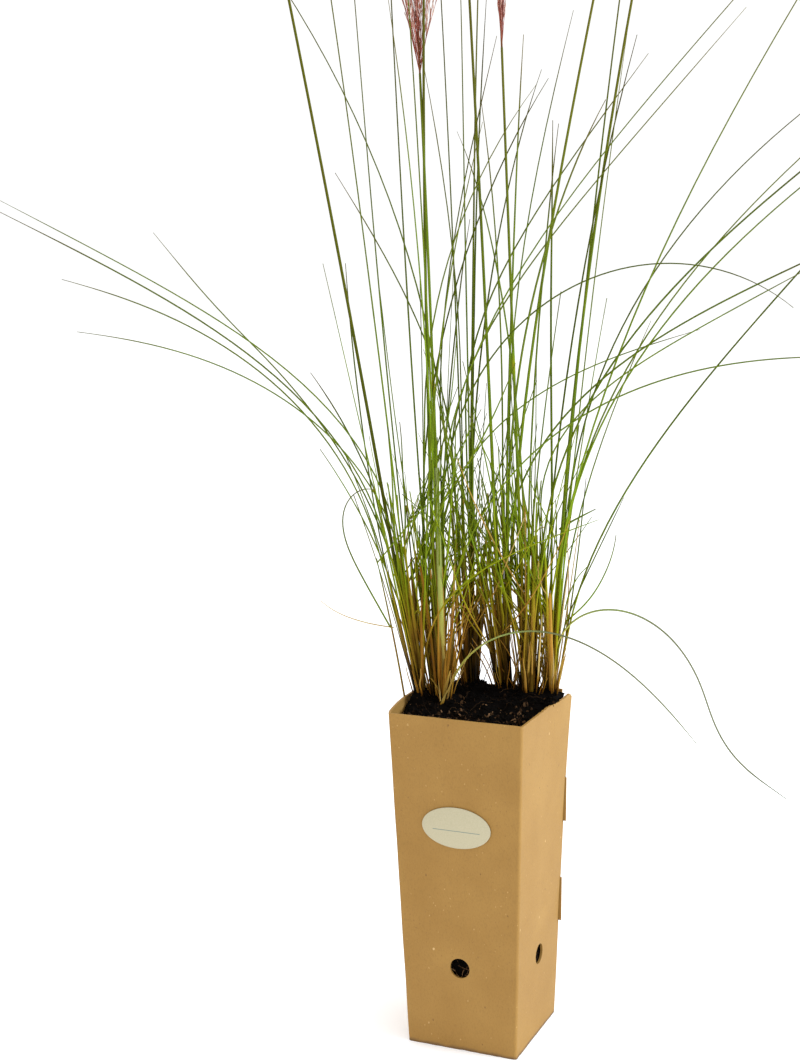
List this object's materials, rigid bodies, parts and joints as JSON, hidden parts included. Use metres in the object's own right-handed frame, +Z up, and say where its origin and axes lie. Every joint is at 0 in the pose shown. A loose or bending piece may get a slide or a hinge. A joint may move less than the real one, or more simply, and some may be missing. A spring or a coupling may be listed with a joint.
{
  "type": "potted pink muhly grass",
  "caption": "Tufted ornamental grass with fine arching leaves, stiff culms and airy pink panicles, growing in a tall square kraft-board pot.",
  "frame": {"origin": "middle of the pot's underside, on the surface that it stands on", "axes": "+Z up along the plant, -Y the pot's front face with the oval label, +X to the right of it"},
  "size_m": [0.517, 0.3627, 0.8933],
  "materials": {
    "board": "uncoated kraft board, matt, short fibres and dark flecks",
    "label": "matt cream paper sticker, oval, bare",
    "soil": "dark crumbly potting soil",
    "grass": "straw and orange-brown sheaths below, green leaves above, matt",
    "panicle": "dusky pink hair-fine branches and spikelets, matt"
  },
  "bodies": {
    "root": {"pot_sleeve": "board", "pot_base": "board", "label": "label", "soil": "soil", "tuft_left": "grass", "tuft_front": "grass", "tuft_middle": "grass", "tuft_centre": "grass", "tuft_right": "grass", "tuft_corner": "grass", "panicle_1": "panicle", "panicle_2": "panicle", "panicle_3": "panicle", "panicle_4": "panicle", "panicle_5": "panicle"}
  },
  "joints": []
}
